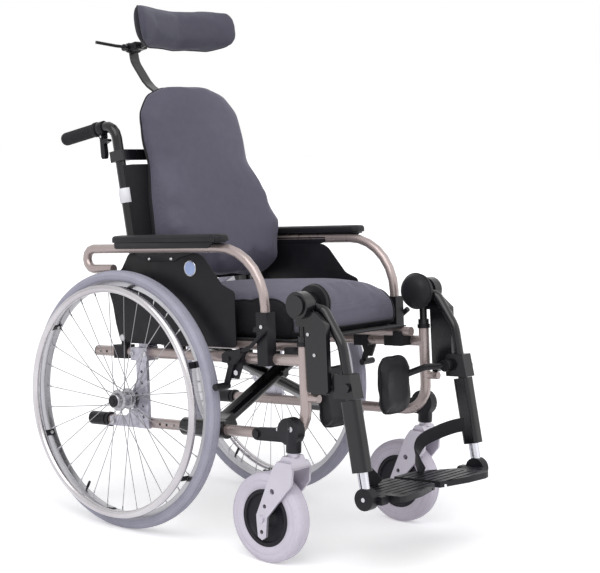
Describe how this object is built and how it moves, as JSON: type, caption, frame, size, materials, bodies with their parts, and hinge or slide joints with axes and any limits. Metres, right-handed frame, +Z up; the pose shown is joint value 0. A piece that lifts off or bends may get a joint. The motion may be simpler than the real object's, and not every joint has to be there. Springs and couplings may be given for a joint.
{
  "type": "folding wheelchair",
  "caption": "Folding manual wheelchair with a reclining back, curved headrest and elevating swing-away legrests.",
  "frame": {"origin": "on the floor under the middle of the chair's length and width", "axes": "+X forward, +Y to the sitter's left, +Z up"},
  "size_m": [1.05, 0.6322, 1.2416],
  "materials": {
    "frame_paint": "champagne metallic lacquer",
    "zinc_steel": "bright zinc plate",
    "black_fittings": "moulded black nylon",
    "cast_black": "black powder coat",
    "grey_tyre": "non-marking grey rubber",
    "rim_alloy": "satin anodised",
    "handrim_alloy": "satin anodised",
    "fork_silver": "silver lacquer",
    "caster_rubber": "solid grey polyurethane",
    "caster_plastic": "moulded grey nylon",
    "black_plastic": "moulded black nylon",
    "black_foam": "soft moulded foam skin",
    "guard_plastic": "flat moulded sheet",
    "black_paint": "black powder coat",
    "grip_rubber": "ribbed rubber",
    "black_vinyl": "vinyl over foam",
    "foot_alloy": "bright anodised",
    "webbing": "woven webbing",
    "seat_fabric": "stretch knit",
    "back_fabric": "stretch knit",
    "head_fabric": "stretch knit"
  },
  "bodies": {
    "frame_right": {"side_frame_right": "frame_paint", "frame_fittings_right": "black_fittings", "axle_carrier_right": "zinc_steel", "caster_housing_right": "cast_black", "legrest_bush_right": "black_fittings"},
    "brace_right": {"brace_arm_right": "black_paint", "seat_rail_left": "black_paint"},
    "brace_left": {"brace_arm_left": "black_paint", "seat_rail_right": "black_paint"},
    "frame_left": {"side_frame_left": "frame_paint", "frame_fittings_left": "black_fittings", "axle_carrier_left": "zinc_steel", "caster_housing_left": "cast_black", "legrest_bush_left": "black_fittings"},
    "seat": {"seat_cushion": "seat_fabric"},
    "back_right": {"back_tube_right": "black_paint", "push_grip_right": "grip_rubber", "headrest_bar": "black_paint", "back_cushion": "back_fabric"},
    "back_left": {"back_tube_left": "black_paint", "push_grip_left": "grip_rubber"},
    "headrest_stem": {"headrest_stem": "black_paint"},
    "headrest_pad": {"headrest_pad": "head_fabric"},
    "headrest_lever": {"headrest_lever": "black_plastic"},
    "rear_wheel_right": {"tyre_right": "grey_tyre", "spoked_rim_right": "rim_alloy", "handrim_right": "handrim_alloy"},
    "caster_fork_right": {"caster_fork_right": "fork_silver"},
    "caster_wheel_right": {"caster_tyre_right": "caster_rubber", "caster_hub_right": "caster_plastic"},
    "armrest_right": {"armrest_tube_right": "frame_paint", "arm_pad_right": "black_foam", "skirt_guard_right": "guard_plastic"},
    "lock_handle_right": {"lock_handle_right": "black_plastic"},
    "lock_shoe_right": {"lock_shoe_right": "zinc_steel"},
    "brake_lever_right": {"brake_lever_right": "black_plastic"},
    "legrest_right": {"legrest_hanger_right": "black_paint"},
    "leg_right": {"leg_tube_right": "black_paint"},
    "calf_right": {"calf_pad_right": "black_vinyl"},
    "foot_tube_right": {"foot_tube_right": "foot_alloy"},
    "footplate_right": {"footplate_right": "black_plastic", "heel_strap_right": "webbing"},
    "rear_wheel_left": {"tyre_left": "grey_tyre", "spoked_rim_left": "rim_alloy", "handrim_left": "handrim_alloy"},
    "caster_fork_left": {"caster_fork_left": "fork_silver"},
    "caster_wheel_left": {"caster_tyre_left": "caster_rubber", "caster_hub_left": "caster_plastic"},
    "armrest_left": {"armrest_tube_left": "frame_paint", "arm_pad_left": "black_foam", "skirt_guard_left": "guard_plastic"},
    "lock_handle_left": {"lock_handle_left": "black_plastic"},
    "lock_shoe_left": {"lock_shoe_left": "zinc_steel"},
    "brake_lever_left": {"brake_lever_left": "black_plastic"},
    "legrest_left": {"legrest_hanger_left": "black_paint"},
    "leg_left": {"leg_tube_left": "black_paint"},
    "calf_left": {"calf_pad_left": "black_vinyl"},
    "foot_tube_left": {"foot_tube_left": "foot_alloy"},
    "footplate_left": {"footplate_left": "black_plastic", "heel_strap_left": "webbing"}
  },
  "joints": [
    {"name": "fold", "type": "hinge", "parent": "frame_right", "child": "brace_right", "pos_m": [0.00765, -0.222, 0.26356], "axis": [-0.9973, 0, -0.0732], "range_deg": [-44.5, 0], "deforming": ["seat_cushion", "back_cushion"]},
    {"name": "brace_cross", "type": "hinge", "parent": "brace_right", "child": "brace_left", "pos_m": [0.00007, 0, 0.3667], "axis": [-0.9973, 0, -0.0732], "range_deg": [0, 89]},
    {"name": "frame_left_hinge", "type": "hinge", "parent": "brace_left", "child": "frame_left", "pos_m": [0.00765, 0.222, 0.26356], "axis": [-0.9973, 0, -0.0732], "range_deg": [-44.5, 0]},
    {"name": "seat_level", "type": "hinge", "parent": "brace_right", "child": "seat", "pos_m": [-0.00634, 0.188, 0.45405], "axis": [-0.9973, 0, -0.0732], "range_deg": [0, 44.5]},
    {"name": "recline", "type": "hinge", "parent": "frame_right", "child": "back_right", "pos_m": [-0.20196, -0.205, 0.44169], "axis": [0, -1, 0], "range_deg": [0, 30]},
    {"name": "recline_left", "type": "hinge", "parent": "frame_left", "child": "back_left", "pos_m": [-0.20196, 0.205, 0.44169], "axis": [0, -1, 0], "range_deg": [0, 30]},
    {"name": "headrest_height", "type": "slide", "parent": "back_right", "child": "headrest_stem", "axis": [-0.225, 0, 0.9744], "range_m": [-0.03, 0.07]},
    {"name": "headrest_tilt", "type": "hinge", "parent": "headrest_stem", "child": "headrest_pad", "pos_m": [-0.47313, 0, 1.1406], "axis": [0, -1, 0], "range_deg": [-20, 20]},
    {"name": "headrest_clamp", "type": "hinge", "parent": "headrest_stem", "child": "headrest_lever", "pos_m": [-0.47313, 0, 1.1406], "axis": [0, 1, 0], "range_deg": [-90, 90]},
    {"name": "wheel_spin_right", "type": "hinge", "parent": "frame_right", "child": "rear_wheel_right", "pos_m": [-0.22, -0.267, 0.305], "axis": [0, 1, 0], "continuous": true},
    {"name": "caster_swivel_right", "type": "hinge", "parent": "frame_right", "child": "caster_fork_right", "pos_m": [0.288, -0.244, 0.28], "axis": [0, 0, 1], "continuous": true},
    {"name": "caster_spin_right", "type": "hinge", "parent": "caster_fork_right", "child": "caster_wheel_right", "pos_m": [0.226, -0.244, 0.1], "axis": [0, 1, 0], "continuous": true},
    {"name": "armrest_flip_right", "type": "hinge", "parent": "frame_right", "child": "armrest_right", "pos_m": [-0.26623, -0.222, 0.44299], "axis": [0, -1, 0], "range_deg": [0, 75]},
    {"name": "wheel_lock_right", "type": "hinge", "parent": "frame_right", "child": "lock_handle_right", "pos_m": [0.1111, -0.25, 0.43861], "axis": [0, 1, 0], "range_deg": [0, 48]},
    {"name": "lock_shoe_swing_right", "type": "hinge", "parent": "frame_right", "child": "lock_shoe_right", "pos_m": [0.1111, -0.249, 0.43861], "axis": [0, 1, 0], "range_deg": [0, 6]},
    {"name": "brake_squeeze_right", "type": "hinge", "parent": "back_right", "child": "brake_lever_right", "pos_m": [-0.35926, -0.205, 0.91853], "axis": [0, 1, 0], "range_deg": [0, 16], "stiffness_Nm_per_rad": 0.8, "springref_deg": -8.59},
    {"name": "swing_away_right", "type": "hinge", "parent": "frame_right", "child": "legrest_right", "pos_m": [0.29241, -0.222, 0.482], "axis": [0.0732, 0, -0.9973], "range_deg": [0, 90]},
    {"name": "elevate_right", "type": "hinge", "parent": "legrest_right", "child": "leg_right", "pos_m": [0.2928, -0.21, 0.57227], "axis": [0, -1, 0], "range_deg": [0, 80]},
    {"name": "calf_turn_right", "type": "hinge", "parent": "leg_right", "child": "calf_right", "pos_m": [0.38618, -0.193, 0.40667], "axis": [0, -1, 0], "range_deg": [0, 30]},
    {"name": "foot_length_right", "type": "slide", "parent": "leg_right", "child": "foot_tube_right", "axis": [0.2236, 0, -0.9747], "range_m": [-0.02, 0.08], "deforming": ["heel_strap_right"]},
    {"name": "footplate_flip_right", "type": "hinge", "parent": "foot_tube_right", "child": "footplate_right", "pos_m": [0.46267, -0.184, 0.17064], "axis": [0.9973, 0, 0.0732], "range_deg": [0, 85], "deforming": ["heel_strap_right"]},
    {"name": "wheel_spin_left", "type": "hinge", "parent": "frame_left", "child": "rear_wheel_left", "pos_m": [-0.22, 0.267, 0.305], "axis": [0, 1, 0], "continuous": true},
    {"name": "caster_swivel_left", "type": "hinge", "parent": "frame_left", "child": "caster_fork_left", "pos_m": [0.288, 0.244, 0.28], "axis": [0, 0, -1], "continuous": true},
    {"name": "caster_spin_left", "type": "hinge", "parent": "caster_fork_left", "child": "caster_wheel_left", "pos_m": [0.226, 0.244, 0.1], "axis": [0, 1, 0], "continuous": true},
    {"name": "armrest_flip_left", "type": "hinge", "parent": "frame_left", "child": "armrest_left", "pos_m": [-0.26623, 0.222, 0.44299], "axis": [0, -1, 0], "range_deg": [0, 75]},
    {"name": "wheel_lock_left", "type": "hinge", "parent": "frame_left", "child": "lock_handle_left", "pos_m": [0.1111, 0.25, 0.43861], "axis": [0, 1, 0], "range_deg": [0, 48]},
    {"name": "lock_shoe_swing_left", "type": "hinge", "parent": "frame_left", "child": "lock_shoe_left", "pos_m": [0.1111, 0.249, 0.43861], "axis": [0, 1, 0], "range_deg": [0, 6]},
    {"name": "brake_squeeze_left", "type": "hinge", "parent": "back_left", "child": "brake_lever_left", "pos_m": [-0.35926, 0.205, 0.91853], "axis": [0, 1, 0], "range_deg": [0, 16], "stiffness_Nm_per_rad": 0.8, "springref_deg": -8.59},
    {"name": "swing_away_left", "type": "hinge", "parent": "frame_left", "child": "legrest_left", "pos_m": [0.29241, 0.222, 0.482], "axis": [-0.0732, 0, 0.9973], "range_deg": [0, 90]},
    {"name": "elevate_left", "type": "hinge", "parent": "legrest_left", "child": "leg_left", "pos_m": [0.2928, 0.21, 0.57227], "axis": [0, -1, 0], "range_deg": [0, 80]},
    {"name": "calf_turn_left", "type": "hinge", "parent": "leg_left", "child": "calf_left", "pos_m": [0.38618, 0.193, 0.40667], "axis": [0, -1, 0], "range_deg": [0, 30]},
    {"name": "foot_length_left", "type": "slide", "parent": "leg_left", "child": "foot_tube_left", "axis": [0.2236, 0, -0.9747], "range_m": [-0.02, 0.08], "deforming": ["heel_strap_left"]},
    {"name": "footplate_flip_left", "type": "hinge", "parent": "foot_tube_left", "child": "footplate_left", "pos_m": [0.46267, 0.184, 0.17064], "axis": [-0.9973, 0, -0.0732], "range_deg": [0, 85], "deforming": ["heel_strap_left"]}
  ],
  "couplings": [
    {"joint": "brace_cross", "follows": "fold", "ratio": -2},
    {"joint": "frame_left_hinge", "follows": "fold", "ratio": 1},
    {"joint": "seat_level", "follows": "fold", "ratio": -1},
    {"joint": "recline_left", "follows": "recline", "ratio": 1},
    {"joint": "lock_shoe_swing_right", "follows": "wheel_lock_right", "ratio": 0.125},
    {"joint": "swing_away_right", "follows": "fold", "ratio": -2},
    {"joint": "lock_shoe_swing_left", "follows": "wheel_lock_left", "ratio": 0.125},
    {"joint": "swing_away_left", "follows": "fold", "ratio": -2}
  ]
}
